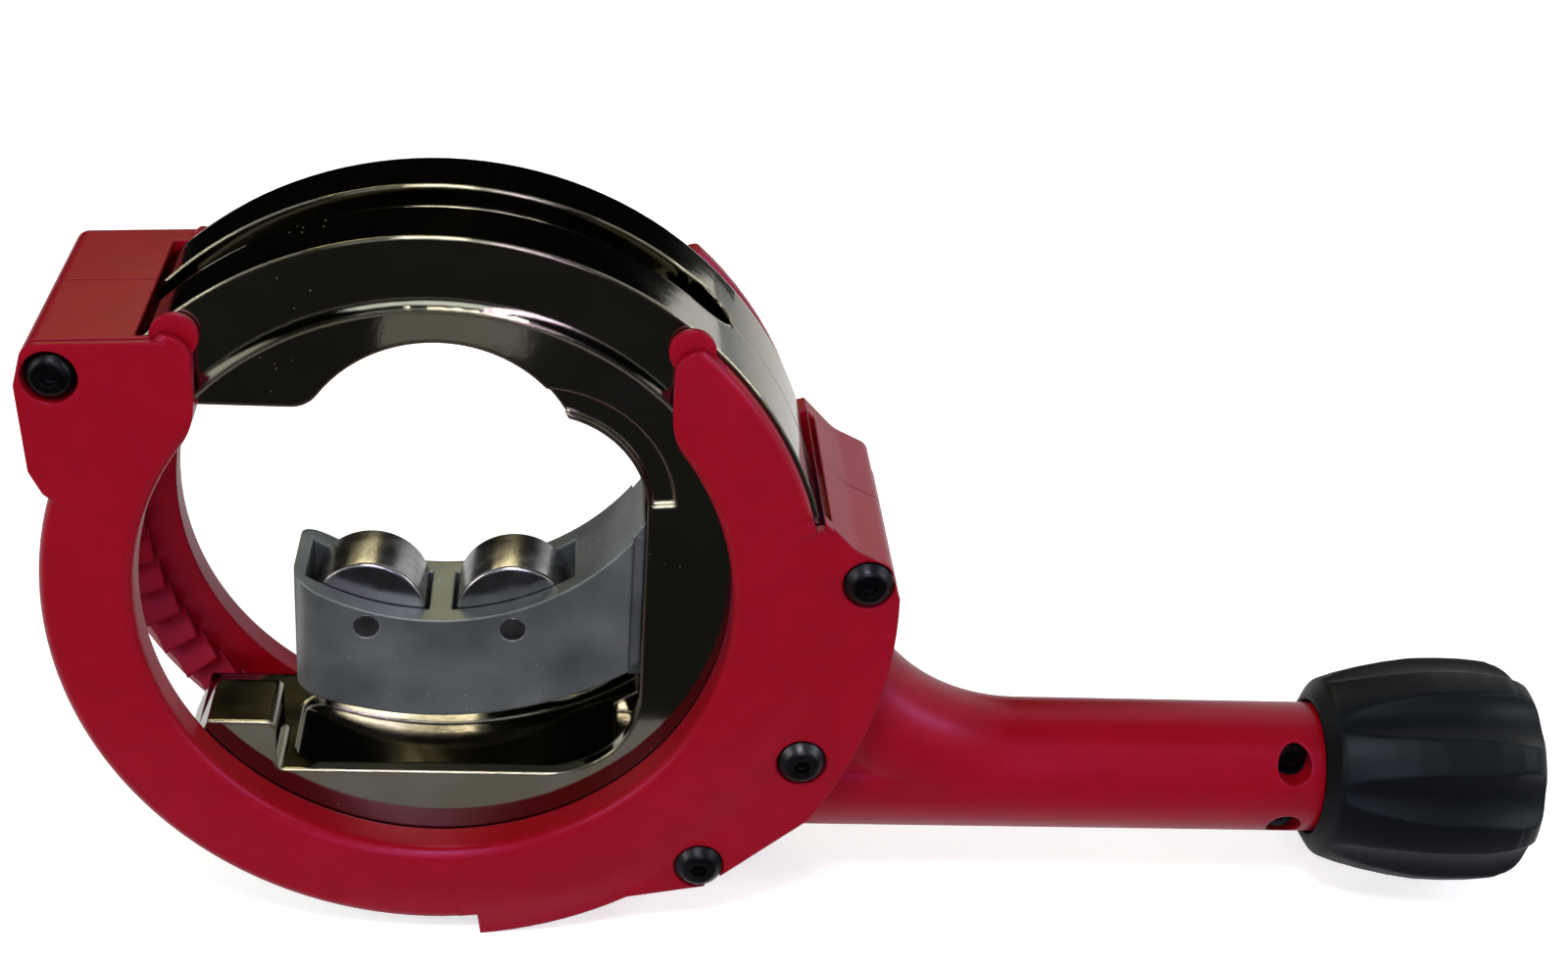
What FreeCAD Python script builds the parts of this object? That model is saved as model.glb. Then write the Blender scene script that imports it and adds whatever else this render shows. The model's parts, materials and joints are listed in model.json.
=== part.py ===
import FreeCAD, Part
import math
import os
from FreeCAD import Vector

# Ratcheting tube cutter. Millimetres. The tube lies along Y, the grip along X, and Z is up.
# The origin is on the turning axis of the head, half way through its thickness.

# Head
rim_radius = 73.5
head_thickness = 39.2
groove_width = 11.0
groove_depth = 4.5
groove_stop_degrees = 0.0
seam_width = 0.3
ridge_inset = 11.1
ridge_width = 3.4
ridge_crest = 0.9
ridge_height = 0.8
face_recess = 4.6

# Throat of the head, which opens to the left in the rest pose
upper_wall = 17.9
lower_wall = 27.0
back_wall = 30.0
throat_top_corner = 20.5
throat_bottom_corner = 18.0
sill_height = 11.0
sill_depth = 15.0
sill_gap = 3.5
sill_inset = 29.0
sill_slant = 21
upper_arm_inset = 18.5
arch_radius = 26.8
arch_rise = 13.1
arch_corner = 6.0
edge_round = 1.5
arc_channel_width = 4.2
arc_channel_depth = 1.2
arc_channel_offset = 1.0
arc_channel_start = 87.0
arc_channel_end = 5.0

# Jaw, its saddle and its two rollers
jaw_width = 23.0
jaw_middle = -1.0
jaw_reach = 27.0
saddle_radius = 47.3
saddle_height = 38.0
jaw_thickness = 21.7
jaw_back_inset = 2.6
jaw_corner = 5.0
jaw_rebate_width = 2.2
jaw_rebate_depth = 1.5
jaw_down_travel = 16.0
jaw_up_travel = 29.0
roller_radius = 11.2
roller_length = 14.0
roller_spread = 28.0
tube_radius = 26.7
roller_pin_radius = 2.5
tongue_width = 12.0
tongue_height = 25.0
tongue_top = 1.0

# Feed screw and its seat in the head
screw_inset = 8.5
screw_radius = 4.0
screw_pitch = 2.0
screw_head_radius = 4.5
screw_head_height = 5.0
screw_socket = 5.0
socket_depth = 4.0
journal_radius = 2.5
journal_length = 4.0
bearing_thickness = 5.5
access_hole_radius = 6.0
screw_wall = 5.5
retainer_radius = 6.0
retainer_thickness = 1.0

# Cutter wheel
wheel_radius = 10.0
wheel_hub_radius = 4.6
wheel_hub_width = 6.0
wheel_pin_radius = 2.5
wheel_bite = 4.6

# Ratchet: face teeth in the rear shell, two sprung pawls in the head
tooth_count = 60
teeth_inset = 4.0
teeth_width = 8.0
tooth_height = 4.0
teeth_first = 150
teeth_last = 390
pawl_radius = 3.0
pawl_length = 9.0
pawl_bore_depth = 12.6
pawl_angles = (228, 0)

# Housing
ring_inset = 0.9
ring_plate = 3.3
ring_round = 2.4
lip_width = 3.1
opening_inset = 13.1
opening_corner = 18.0
rim_gap = 1.0
wall_thickness = 2.4
boss_reach = 10.4
housing_front_boss = 25.4
rear_bore_step = 0.9
rear_plate = 8.0
rear_rim = 6.0
rear_rim_drop = 2.2
left_boss_inset = 0.5
left_boss_rise = 6.2
left_boss_length = 25.0
left_boss_taper = 4.5
tip_rise = 2.4
tip_round = 3.0
tip_leaf = 1.5
tip_slit = 0.5
tip_slit_depth = 7.0
nub_radius = 4.3
nub_rise = 3.4
nub_overhang = 1.2
boss_round = 8.0
boss_slit = 1.1
grip_cap_depth = 8.0
boss_corner_inset = 3.9
boss_start_degrees = 16.3
boss_notch_degrees = 10.3
boss_crown_degrees = 7.2
boss_side_degrees = 2.0
boss_fan_degrees = (-2.0, -20.0)
boss_shoulder_degrees = -33.0
boss_corner_degrees = -50.1
boss_foot_degrees = -60.5
wall_start_degrees = 10.0
wall_end_degrees = -83.5
boss_slit_degrees = (9.0, 16.0)
rim_slit_degrees = (14.5, 40.0)
valley_inset = 4.4
valley_reach = 0.6
valley_drop = 1.2
screw_shank_radius = 2.5
housing_screw_head = 4.75
housing_screw_dome = 2.7
housing_screw_key = 3.0
housing_screw_sink = 2.2
housing_screw_length = 40.0
housing_screw_spots = ((4.4, 145.7), (4.4, 4.9), (1.7, -25.4), (1.8, -48.6))

# Grip and what is inside it
grip_radius = 13.5
grip_end = 183.0
grip_bore_radius = 9.5
grip_waist_radius = 7.5
root_bend = 49.5
root_reach = 30.7
root_sweep = 64
root_web = 12.4
cap_top = 14.0
spindle_radius = 4.0
spindle_reach = 2.6
spindle_tip_length = 10.0
spindle_key = 5.0
bush_length = 16.0
end_bush_length = 26.0
spring_outer_radius = 8.5
spring_wire_radius = 0.8
spring_turns = 11
pawl_spring_turns = 6
spring_length = 40.0
collar_length = 4.0
clip_radius = 6.5
clip_thickness = 1.0
push_travel = 8.0
cross_screw_offset = 7.4
cross_screw_from_end = 9.0
cross_screw_radius = 1.5
cross_screw_head = 2.75
cross_screw_hole = 3.6
cross_screw_key = 2.5
cross_screw_head_height = 3.0
cross_screw_sink = 6.8

# Knob
knob_overlap = 3.0
knob_length = 45.8
knob_gap = 0.4
knob_lip = 1.2
knob_front_radius = 18.6
knob_radius = 23.4
knob_end_radius = 17.5
knob_end_round = 5.0
knob_front_share = 0.06
knob_swell_share = 0.38
knob_crown_share = 0.62
knob_fall_share = 0.84
knob_core = 19.8
knob_seat = 10.0
knob_flutes = 8
flute_phase = 28.0
flute_radius = 9.0
flute_depth = 2.2
flute_path_radius = 130.0
knob_cap_radius = 9.0
knob_cap_thickness = 2.6
knob_screw_head = 4.6
knob_screw_head_height = 3.0
knob_screw_length = 14.0

# Clearances and the one overrun of all cuts
turn_gap = 0.3
slide_gap = 0.3
running_gap = 0.1
face_gap = 0.3
overrun = 2.0

# Planes and places worked out from the sizes above
head_front = -head_thickness / 2
head_back = head_thickness / 2
arm_face = head_front + face_recess
lip_back = arm_face - face_gap
plate_back = head_front - face_gap
plate_front = plate_back - ring_plate
teeth_crest = head_back + face_gap
rear_inner = teeth_crest + tooth_height
rear_back = rear_inner + rear_plate
rear_rim_back = rear_back - rear_rim_drop
parting = plate_front + housing_front_boss + ring_plate
grip_cap_back = plate_front + grip_cap_depth
groove_floor = rim_radius - groove_depth
ridge_outer_radius = rim_radius - ridge_inset
ridge_inner_radius = ridge_outer_radius - ridge_width
arch_height = groove_floor - upper_wall - arch_radius
throat_top = arch_height + arch_rise
throat_bottom = groove_floor - lower_wall
throat_depth = groove_floor - back_wall
screw_offset = throat_depth + screw_inset
access_hole_degrees = math.degrees(math.acos(screw_offset / rim_radius))
upper_arm_end = rim_radius - upper_arm_inset
sill_inner = jaw_reach - jaw_middle + sill_gap
sill_outer = rim_radius - sill_inset
sill_top = -throat_bottom + sill_height
sill_back = arm_face + sill_depth
jaw_back_radius = rim_radius - jaw_back_inset
teeth_outer_radius = rim_radius - teeth_inset
teeth_inner_radius = teeth_outer_radius - teeth_width
ring_outer_radius = rim_radius - ring_inset
ring_bore_radius = ridge_inner_radius - turn_gap - lip_width
opening_half = ring_bore_radius - opening_inset
rear_bore_radius = ring_bore_radius - rear_bore_step
wall_inner_radius = rim_radius + rim_gap
wall_outer_radius = wall_inner_radius + wall_thickness
root_radius = wall_outer_radius + boss_reach
channel_half = jaw_width / 2 + slide_gap + running_gap
tongue_half = tongue_width / 2 + slide_gap
saddle_low = saddle_height - saddle_radius
jaw_low = saddle_low - jaw_thickness
jaw_back_height = jaw_low + jaw_back_radius
pocket_radius = jaw_back_radius + edge_round
roller_height = arch_height - math.sqrt((tube_radius + roller_radius) ** 2 - (roller_spread / 2) ** 2)
tongue_end = screw_offset + screw_wall
tongue_bottom = tongue_top - tongue_height
screw_hall_top = tongue_top + jaw_up_travel + retainer_thickness + 2 * jaw_rebate_depth
screw_hall_bottom = tongue_bottom - jaw_down_travel - retainer_thickness
screw_seat = screw_hall_top + bearing_thickness
wheel_height = arch_height + arch_radius - wheel_bite + wheel_radius
grip_height = -screw_offset
pawl_circle = (teeth_inner_radius + teeth_outer_radius) / 2
root_bend_start = root_radius + root_reach
bush_start = math.sqrt(wall_inner_radius ** 2 - (screw_offset - grip_bore_radius) ** 2)
spindle_tip = bush_start - spindle_reach
bush_end = bush_start + bush_length
collar_start = bush_end + spring_length
collar_stop = collar_start + collar_length + face_gap
end_bush_start = grip_end - end_bush_length
cross_screw_x = grip_end - cross_screw_from_end
knob_start = grip_end - knob_overlap
knob_mouth_radius = grip_radius + knob_gap
knob_end = knob_start + knob_length
knob_hub = knob_end - knob_core
spindle_end = knob_hub + knob_seat
knob_screw_seat = spindle_end + knob_screw_head_height

AXIS_Y = Vector(0, 1, 0)
AXIS_X = Vector(1, 0, 0)
AXIS_Z = Vector(0, 0, 1)
ORIGIN = Vector(0, 0, 0)


def polar(radius, degrees):
    """Point (x, z) at this radius and angle about the turning axis."""
    turn = math.radians(degrees)
    return (radius * math.cos(turn), radius * math.sin(turn))


def screw_places():
    """The four housing screws."""
    return [polar(wall_outer_radius + outside, degrees) for outside, degrees in housing_screw_spots]


left_boss_side = rim_radius - left_boss_inset
left_boss_top = screw_places()[0][1] + left_boss_rise
left_boss_foot = left_boss_top - left_boss_length
tip_height = left_boss_top + tip_rise
nub_height = tip_height + nub_rise


def disc(radius, front, back, centre=(0, 0)):
    """Cylinder along Y between two planes."""
    return Part.makeCylinder(radius, back - front, Vector(centre[0], front, centre[1]), AXIS_Y)


def ring(outer, inner, front, back, centre=(0, 0)):
    """Tube along Y between two planes."""
    return disc(outer, front, back, centre).cut(disc(inner, front - overrun, back + overrun, centre))


def rod_x(radius, start, end, y=0, z=None):
    """Cylinder along X, on the grip's axis unless another height is given."""
    height = grip_height if z is None else z
    return Part.makeCylinder(radius, end - start, Vector(start, y, height), AXIS_X)


def rod_z(radius, bottom, top, x=None):
    """Cylinder along Z on the feed screw's axis."""
    place = screw_offset if x is None else x
    return Part.makeCylinder(radius, top - bottom, Vector(place, 0, bottom), AXIS_Z)


def box(left, right, front, back, bottom, top):
    """Box between three pairs of planes."""
    return Part.makeBox(right - left, back - front, top - bottom, Vector(left, front, bottom))


def rounded_wire(corners, place):
    """Closed wire through corners (a, b, radius); place turns (a, b) into a 3-D point."""
    edges = []
    count = len(corners)
    starts = []
    ends = []
    middles = []
    for index in range(count):
        a, b, radius = corners[index]
        before = corners[index - 1]
        after = corners[(index + 1) % count]
        point = Vector(a, b, 0)
        to_before = (Vector(before[0], before[1], 0) - point).normalize()
        to_after = (Vector(after[0], after[1], 0) - point).normalize()
        if radius == 0:
            starts.append(point)
            ends.append(point)
            middles.append(None)
            continue
        half = to_before.getAngle(to_after) / 2
        reach = radius / math.tan(half)
        inward = (to_before + to_after).normalize()
        centre = point + inward * (radius / math.sin(half))
        starts.append(point + to_before * reach)
        ends.append(point + to_after * reach)
        middles.append(centre - inward * radius)
    for index in range(count):
        if middles[index] is not None:
            arc = Part.Arc(place(starts[index]), place(middles[index]), place(ends[index]))
            edges.append(arc.toShape())
        line_start = ends[index]
        line_end = starts[(index + 1) % count]
        edges.append(Part.LineSegment(place(line_start), place(line_end)).toShape())
    return Part.Wire(edges)


def prism(corners, front, back):
    """Outline (x, z, radius) stretched along Y between two planes."""
    wire = rounded_wire(corners, lambda p: Vector(p.x, front, p.y))
    return Part.Face(wire).extrude(Vector(0, back - front, 0))


def column(corners, bottom, top):
    """Outline (x, y, radius) stretched along Z between two heights."""
    wire = rounded_wire(corners, lambda p: Vector(p.x, p.y, bottom))
    return Part.Face(wire).extrude(Vector(0, 0, top - bottom))


def eased_corner(line, bore, centre, rounding, side, front, back):
    """Sharp corner between a line and a bore, less a tangent disc: cut away, it rounds the corner.
    The line is level, or upright where side is zero, at this distance from the bore's centre."""
    along = math.sqrt((bore + rounding) ** 2 - (line + rounding) ** 2)
    corner = math.sqrt(bore ** 2 - line ** 2)
    share = bore / (bore + rounding)
    points = [(corner, line), (along, line), (along * share, (line + rounding) * share)]
    middle = (along, line + rounding)
    if side == 0:
        points = [(-b, a) for a, b in points]
        middle = (-middle[1], middle[0])
    else:
        points = [(side * a, b) for a, b in points]
        middle = (side * middle[0], middle[1])
    shape = prism([(centre[0] + a, centre[1] + b, 0) for a, b in points], front, back)
    return shape.cut(disc(rounding, front - overrun, back + overrun,
                          (centre[0] + middle[0], centre[1] + middle[1])))


def sector(first, last, front, back, centre=(0, 0)):
    """Fan between two angles that reaches past the whole housing."""
    steps = 4
    corners = [(centre[0], centre[1], 0)]
    for index in range(steps + 1):
        x, z = polar(2 * root_radius, first + (last - first) * index / steps)
        corners.append((centre[0] + x, centre[1] + z, 0))
    return prism(corners, front, back)


def turned_y(corners, centre=(0, 0)):
    """Outline (radius, y, round) turned about an axis along Y."""
    wire = rounded_wire(corners, lambda p: Vector(centre[0] + p.x, p.y, centre[1]))
    return Part.Face(wire).revolve(Vector(centre[0], 0, centre[1]), AXIS_Y, 360)


def turned_x(corners):
    """Outline (x, radius, round) turned about the grip's axis."""
    wire = rounded_wire(corners, lambda p: Vector(p.x, 0, grip_height + p.y))
    return Part.Face(wire).revolve(Vector(0, 0, grip_height), AXIS_X, 360)


def hexagon(across, centre, along, length):
    """Six-sided bar of this width across flats."""
    corner = across / math.sqrt(3)
    side = AXIS_Y if abs(along.dot(AXIS_Y)) < 0.5 else AXIS_X
    other = along.cross(side)
    points = []
    for index in range(6):
        turn = math.radians(60 * index)
        points.append(centre + side * (corner * math.cos(turn)) + other * (corner * math.sin(turn)))
    points.append(points[0])
    return Part.Face(Part.makePolygon(points)).extrude(along * length)


def joined(shapes):
    """All shapes as one solid without seams between flush faces."""
    whole = shapes[0]
    for shape in shapes[1:]:
        whole = whole.fuse(shape)
    return whole.removeSplitter()


def without(shape, tools):
    """The shape with all tools cut away."""
    for tool in tools:
        shape = shape.cut(tool)
    return shape.removeSplitter()


def biarc_edges(start, start_way, end, end_way):
    """Two tangent arcs from one point and direction to another."""
    step = end - start
    both = start_way + end_way
    spread = 1 - start_way.dot(end_way)
    lead = step.dot(both)
    reach = (-lead + math.sqrt(lead ** 2 + 2 * spread * step.dot(step))) / (2 * spread)
    first = start + start_way * reach
    second = end - end_way * reach
    joint = (first + second) * 0.5
    edges = []
    for a, corner, b in ((start, first, joint), (joint, second, end)):
        middle = (a + b) * 0.5
        lean = a.distanceToPoint(b) / 2 / a.distanceToPoint(corner)
        top = middle + (corner - middle) * (lean / (1 + lean))
        edges.append(Part.Arc(a, top, b).toShape())
    return edges


def spring(start, along, side, radius, wire_radius, length, turns, name):
    """Coil spring between two end planes, as one unbroken tube."""
    other = along.cross(side)
    rise = length - 2 * wire_radius
    quarters = 4 * turns
    points = []
    ways = []
    for index in range(quarters + 1):
        turn = math.pi / 2 * index
        out = side * math.cos(turn) + other * math.sin(turn)
        way = other * math.cos(turn) - side * math.sin(turn)
        points.append(start + along * (wire_radius + rise * index / quarters) + out * radius)
        ways.append((way * (radius * 2 * math.pi * turns) + along * rise).normalize())
    edges = []
    for index in range(quarters):
        edges += biarc_edges(points[index], ways[index], points[index + 1], ways[index + 1])
    path = Part.Wire(edges)
    section = Part.Wire(Part.makeCircle(wire_radius, points[0], ways[0]))
    least_gap = rise / turns - 2 * wire_radius
    print(name, "least gap between turns", round(least_gap, 3))
    return Part.Solid(path.makePipeShell([section], True, False))


def throat(front, back):
    """Space of the throat between two planes."""
    far = 2 * rim_radius
    return prism([
        (-far, throat_top, 0),
        (throat_depth, throat_top, throat_top_corner),
        (throat_depth, -throat_bottom, throat_bottom_corner),
        (-sill_inner, -throat_bottom, edge_round),
        (-sill_inner, sill_top, edge_round),
        (-far, sill_top, 0),
    ], front, back)


def ridge():
    """Ridge round the head's front face: a cove rises to its crest, and a chamfer leads inside."""
    crest = ridge_inner_radius + ridge_crest
    low = Vector(ridge_outer_radius, head_front, 0)
    middle = Vector((ridge_outer_radius + crest) / 2, head_front - ridge_height / 4, 0)
    high = Vector(crest, head_front - ridge_height, 0)
    corners = [
        high,
        Vector(ridge_inner_radius, head_front - ridge_height / 2, 0),
        Vector(ridge_inner_radius, arm_face, 0),
        Vector(ridge_outer_radius, arm_face, 0),
        low,
    ]
    edges = [Part.Arc(low, middle, high).toShape()]
    edges += [Part.LineSegment(start, end).toShape() for start, end in zip(corners, corners[1:])]
    return Part.Face(Part.Wire(edges)).revolve(ORIGIN, AXIS_Y, 360)


def head_casting():
    """C-shaped head with its rim groove, jaw channel and screw hall."""
    front = head_front - ridge_height - overrun
    back = head_back + overrun
    body = disc(rim_radius, head_front, head_back)
    body = body.fuse(ridge())
    rim_groove = ring(rim_radius + overrun, groove_floor, -groove_width / 2, groove_width / 2)
    land = sector(groove_stop_degrees, access_hole_degrees, -groove_width, groove_width)
    seam = ring(rim_radius + overrun, rim_radius - seam_width, -seam_width / 2, seam_width / 2)
    rim_groove = rim_groove.cut(land).fuse(seam.common(land))
    recess = disc(ridge_inner_radius, front, arm_face)
    arch = disc(arch_radius, front, back, (0, arch_height))
    lean = math.tan(math.radians(sill_slant))
    lower_end = prism([
        (-sill_outer, sill_top, 0),
        (-sill_outer + lean * sill_top, 0, 0),
        (-2 * rim_radius, 0, 0),
        (-2 * rim_radius, -2 * rim_radius, 0),
        (-sill_outer - lean * (2 * rim_radius + sill_top), -2 * rim_radius, 0),
    ], front, back)
    upper_end = box(-2 * rim_radius, -upper_arm_end, front, back, 0, 2 * rim_radius)
    sill_room = box(-2 * rim_radius, -sill_inner + edge_round, sill_back, back, -throat_bottom, 0)
    pocket = disc(pocket_radius, -channel_half, channel_half,
                  (jaw_middle, jaw_back_height - jaw_down_travel))
    pocket_left = jaw_middle - jaw_reach - 2 * slide_gap
    pocket = pocket.common(column([
        (pocket_left, -channel_half, jaw_corner),
        (throat_depth + slide_gap, -channel_half, 0),
        (throat_depth + slide_gap, channel_half, 0),
        (pocket_left, channel_half, jaw_corner),
    ], -2 * rim_radius, throat_top))
    horn_room = box(throat_depth - throat_top_corner, throat_depth + slide_gap,
                    -channel_half, channel_half, 0,
                    saddle_height - saddle_radius / 2 + jaw_up_travel)
    screw_hall = box(throat_depth - 2 * overrun, tongue_end + slide_gap, -tongue_half, tongue_half,
                     screw_hall_bottom, screw_hall_top)
    bearing = rod_z(screw_radius + running_gap, screw_hall_top - overrun, screw_seat + overrun)
    access = rod_z(access_hole_radius, screw_seat, 2 * rim_radius)
    journal_bore = rod_z(journal_radius + running_gap, screw_hall_bottom - journal_length - face_gap,
                         screw_hall_bottom + overrun)
    wheel_slot = disc(wheel_radius + 2 * slide_gap, -wheel_hub_width / 2 - slide_gap,
                      wheel_hub_width / 2 + slide_gap, (0, wheel_height))
    wheel_hole = disc(wheel_pin_radius, arm_face + edge_round / 2, back, (0, wheel_height))
    channel_inner = throat_top_corner + arc_channel_offset
    corner_centre = (throat_depth - throat_top_corner, throat_top - throat_top_corner)
    cuts = [rim_groove, recess, throat(front, back), arch, lower_end, upper_end, sill_room, pocket,
            horn_room, screw_hall, bearing, access, journal_bore, wheel_slot, wheel_hole]
    cuts.append(arc_channel(corner_centre, channel_inner))
    cuts.append(eased_corner(arch_rise, arch_radius, (0, arch_height), arch_corner, -1, front, back))
    for angle in pawl_angles:
        cuts.append(disc(pawl_radius + running_gap, head_back - pawl_bore_depth, back,
                         polar(pawl_circle, angle)))
    return without(body, cuts)


def arc_channel(centre, inner):
    """Shallow channel round the throat's upper corner, round at its start."""
    outer = inner + arc_channel_width
    middle = inner + arc_channel_width / 2
    floor = arm_face + arc_channel_depth
    full = ring(outer, inner, arm_face - overrun, floor, centre)
    wedge = sector(arc_channel_end, arc_channel_start, arm_face - 2 * overrun, floor + overrun, centre)
    start = polar(middle, arc_channel_start)
    ball = disc(arc_channel_width / 2, arm_face - overrun, floor,
                (centre[0] + start[0], centre[1] + start[1]))
    return full.common(wedge).fuse(ball)


def jaw():
    """Sliding jaw: a saddle block with two roller slots and a threaded tongue."""
    half = jaw_width / 2
    left = jaw_middle - jaw_reach
    right = throat_depth - running_gap
    block = prism([
        (left, saddle_height, 0),
        (right, saddle_height, 0),
        (right, jaw_low, 0),
        (left, jaw_low, edge_round),
    ], -half, half)
    block = block.common(disc(jaw_back_radius, -half, half, (jaw_middle, jaw_back_height)))
    block = block.common(column([
        (left, -half, jaw_corner),
        (right, -half, 0),
        (right, half, 0),
        (left, half, jaw_corner),
    ], -rim_radius, rim_radius))
    block = block.cut(disc(saddle_radius, -half - overrun, half + overrun, (jaw_middle, saddle_height)))
    tongue = box(right - overrun, tongue_end, -tongue_width / 2, tongue_width / 2,
                 tongue_bottom, tongue_top)
    block = block.fuse(tongue)
    cuts = [rod_z(screw_radius + running_gap, tongue_bottom - overrun, tongue_top + overrun)]
    for side in (-1, 1):
        inner = half - jaw_rebate_depth
        edges = sorted((side * inner, side * (half + overrun)))
        cuts.append(box(right - jaw_rebate_width, right + overrun, edges[0], edges[1],
                        -rim_radius, rim_radius))
    slot_half = roller_length / 2 + slide_gap
    for place in roller_places():
        cuts.append(disc(roller_radius + 2 * slide_gap, -slot_half, slot_half, place))
        cuts.append(box(place[0] - roller_radius - 2 * slide_gap, place[0] + roller_radius + 2 * slide_gap,
                        -slot_half, slot_half, place[1], place[1] + 3 * roller_radius))
        cuts.append(disc(roller_pin_radius, -half - overrun, half + overrun, place))
    return without(block, cuts)


def roller_places():
    """The two roller axes, left first, set so that both touch the tube held at rest."""
    spread = roller_spread / 2
    return ((-spread, roller_height), (spread, roller_height))


def roller(place):
    """One plain steel roller with rounded rims."""
    half = roller_length / 2
    bore = roller_pin_radius + running_gap
    return turned_y([
        (bore, -half, 0),
        (roller_radius, -half, edge_round / 2),
        (roller_radius, half, edge_round / 2),
        (bore, half, 0),
    ], place)


def roller_pins():
    """Two pins pressed into the jaw's cheeks."""
    half = jaw_width / 2
    return Part.makeCompound([disc(roller_pin_radius, -half, half, place) for place in roller_places()])


def feed_screw():
    """Feed screw with a socket head in the rim hole and a journal at its foot."""
    top = screw_seat + face_gap + screw_head_height
    shank = rod_z(screw_radius, screw_hall_bottom + face_gap, top - overrun)
    head = rod_z(screw_head_radius, screw_seat + face_gap, top)
    journal = rod_z(journal_radius, screw_hall_bottom - journal_length, screw_hall_bottom + overrun)
    shape = joined([shank, head, journal])
    socket = hexagon(screw_socket, Vector(screw_offset, 0, top - socket_depth), AXIS_Z,
                     socket_depth + overrun)
    groove_low = screw_hall_top - face_gap - retainer_thickness
    clip_groove = rod_z(screw_radius + overrun, groove_low, groove_low + retainer_thickness).cut(
        rod_z(retainer_core(), groove_low - overrun, groove_low + retainer_thickness + overrun))
    return without(shape, [socket, clip_groove])


def retainer_core():
    """Radius of the groove that holds the screw's retaining ring."""
    return screw_radius - retainer_thickness / 2


def screw_retainer():
    """Snap ring under the bearing wall, in a groove of the screw."""
    low = screw_hall_top - face_gap - retainer_thickness
    body = rod_z(retainer_radius - slide_gap, low, low + retainer_thickness)
    return without(body, [rod_z(retainer_core(), low - overrun, low + retainer_thickness + overrun)])


def cutter_wheel():
    """Hardened wheel with a wedge edge and a wider hub."""
    half = wheel_hub_width / 2
    bore = wheel_pin_radius + running_gap
    shoulder = (wheel_hub_radius + wheel_radius) / 2
    return turned_y([
        (bore, -half, 0),
        (wheel_hub_radius, -half, 0),
        (wheel_hub_radius, -half / 2, 0),
        (shoulder, -half / 2, 0),
        (wheel_radius, 0, 0),
        (shoulder, half / 2, 0),
        (wheel_hub_radius, half / 2, 0),
        (wheel_hub_radius, half, 0),
        (bore, half, 0),
    ], (0, wheel_height))


def wheel_pin():
    """Wheel axle, pushed in from behind into a blind seat."""
    return disc(wheel_pin_radius, arm_face + edge_round / 2, head_back, (0, wheel_height))


def pawl(angle):
    """Sprung pin with a slanted nose that drops between two ratchet teeth."""
    pitch = 360 / tooth_count
    nose = rear_inner - 2 * face_gap
    body = disc(pawl_radius, nose - pawl_length, nose, (pawl_circle, 0))
    slope = tooth_height / (pawl_circle * math.radians(pitch))
    lift = slope * 2 * pawl_radius
    far = overrun * pawl_radius
    points = [
        Vector(pawl_circle - far, nose, -pawl_radius),
        Vector(pawl_circle - far, nose - lift, pawl_radius),
        Vector(pawl_circle - far, nose + overrun, pawl_radius),
        Vector(pawl_circle - far, nose + overrun, -pawl_radius),
    ]
    points.append(points[0])
    wedge = Part.Face(Part.makePolygon(points)).extrude(Vector(2 * far, 0, 0))
    body = body.cut(wedge)
    seat = disc(pawl_seat_radius(), nose - pawl_length - overrun, nose - pawl_length / 2,
                (pawl_circle, 0))
    body = body.cut(seat)
    body.rotate(ORIGIN, AXIS_Y, -angle)
    return body


def pawl_seat_radius():
    """Radius of the spring bore in the back of a pawl."""
    return pawl_radius * 2 / 3


def pawl_spring(angle, name):
    """Coil spring between the floor of one bore and its pawl."""
    start = head_back - pawl_bore_depth
    seat = rear_inner - 2 * face_gap - pawl_length / 2
    wire = spring_wire_radius / 2
    x, z = polar(pawl_circle, angle)
    return spring(Vector(x, start, z), AXIS_Y, AXIS_X, pawl_seat_radius() - wire - running_gap,
                  wire, seat - start, pawl_spring_turns, name)


def right_block(front, back):
    """Outer mass of the housing on the grip side, between two planes."""
    outline = [
        (0, 0, 0),
        polar(wall_inner_radius, boss_start_degrees) + (0,),
        polar(wall_inner_radius + 2 * ring_round, boss_notch_degrees) + (boss_round,),
        polar(root_radius - edge_round, boss_crown_degrees) + (tip_round,),
        polar(root_radius, boss_side_degrees) + (tip_round,),
    ]
    outline += [polar(2 * root_radius, degrees) + (0,) for degrees in boss_fan_degrees]
    outline += [
        polar(root_radius, boss_shoulder_degrees) + (0,),
        polar(root_radius - boss_corner_inset, boss_corner_degrees) + (tip_round,),
        polar(wall_outer_radius, boss_foot_degrees) + (0,),
    ]
    shape = prism(outline, front, back).common(disc(root_radius, front, back))
    band = disc(wall_outer_radius, front, back)
    band = band.common(sector(wall_end_degrees, wall_start_degrees, front, back))
    return shape.fuse(band)


def left_block(front, back):
    """Outer mass of the housing at the left tip, between two planes."""
    side = -left_boss_side
    return prism([
        (-opening_half, left_boss_foot, 0),
        (-opening_half, left_boss_top + edge_round, 2 * tip_round),
        (side + edge_round, left_boss_top, tip_round),
        (side - edge_round / 3, left_boss_top - boss_round, tip_round),
        (side + edge_round / 2, left_boss_foot, edge_round),
        (side + 2 * edge_round, left_boss_foot - left_boss_taper, edge_round),
        (-ring_bore_radius, left_boss_foot - 2 * boss_round, 0),
    ], front, back)


def opening(front, back):
    """Space between the two tips of the housing."""
    high = 2 * rim_radius
    return box(-opening_half, opening_half, front - overrun, back + overrun, 0, high)


def tip_corners(bore, front, back):
    """Cuts that round each tip where the opening meets this bore."""
    left = eased_corner(opening_half, bore, (0, 0), opening_corner, 0, front - overrun, back + overrun)
    right = left.mirror(ORIGIN, AXIS_X)
    return [left, right]


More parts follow.
